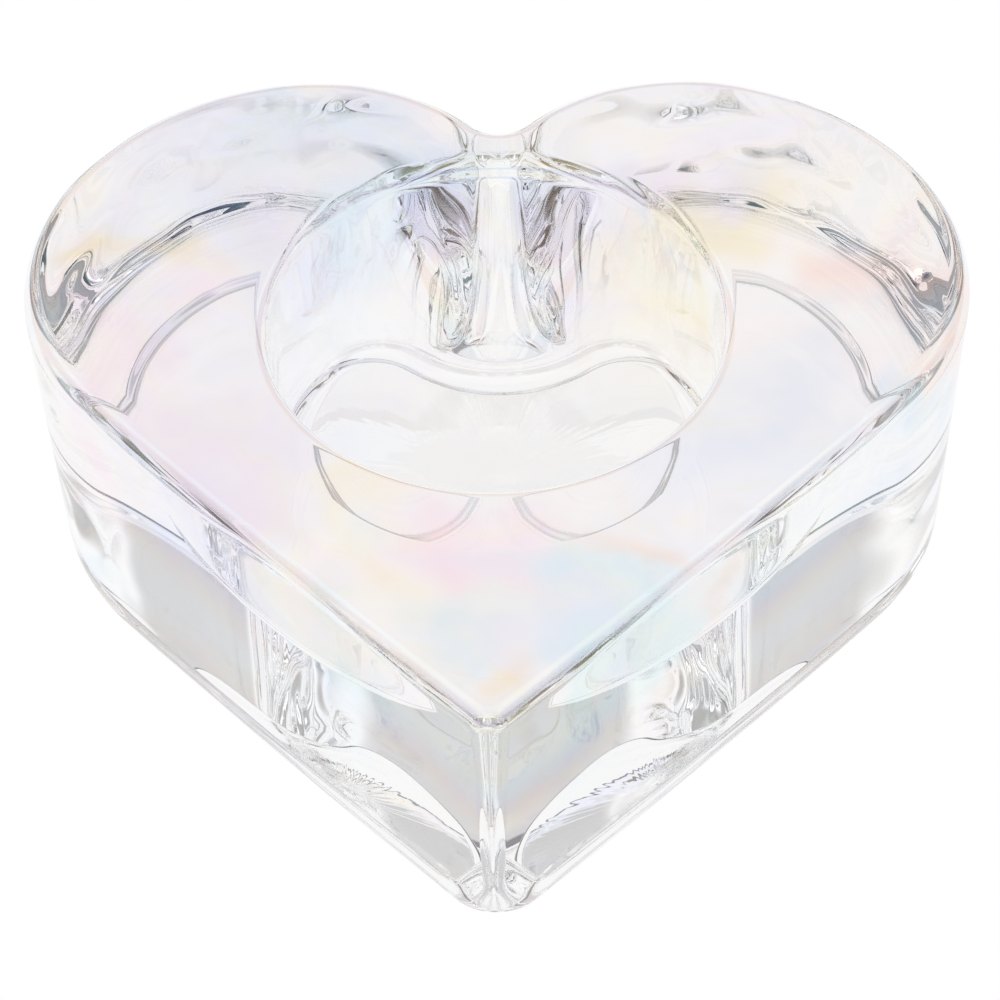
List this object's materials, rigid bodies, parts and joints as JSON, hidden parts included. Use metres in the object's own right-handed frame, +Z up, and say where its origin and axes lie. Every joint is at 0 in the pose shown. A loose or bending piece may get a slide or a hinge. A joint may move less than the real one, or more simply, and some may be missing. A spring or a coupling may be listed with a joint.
{
  "type": "heart-shaped glass trinket dish",
  "caption": "Open heart-shaped dish of thick clear pressed glass with an iridescent finish; a well in its flat top, round at the mouth, holds rings and small trinkets.",
  "frame": {"origin": "middle of the heart's outline box, on the surface it stands on", "axes": "+X across the two lobes, +Y towards the cleft at the back, -Y towards the point of the heart, +Z up out of the well"},
  "size_m": [0.09, 0.0838, 0.035],
  "materials": {
    "glass": "clear, fire-polished, with a faint iridescent lustre film on top"
  },
  "bodies": {
    "root": {"glass_heart": "glass"}
  },
  "joints": []
}
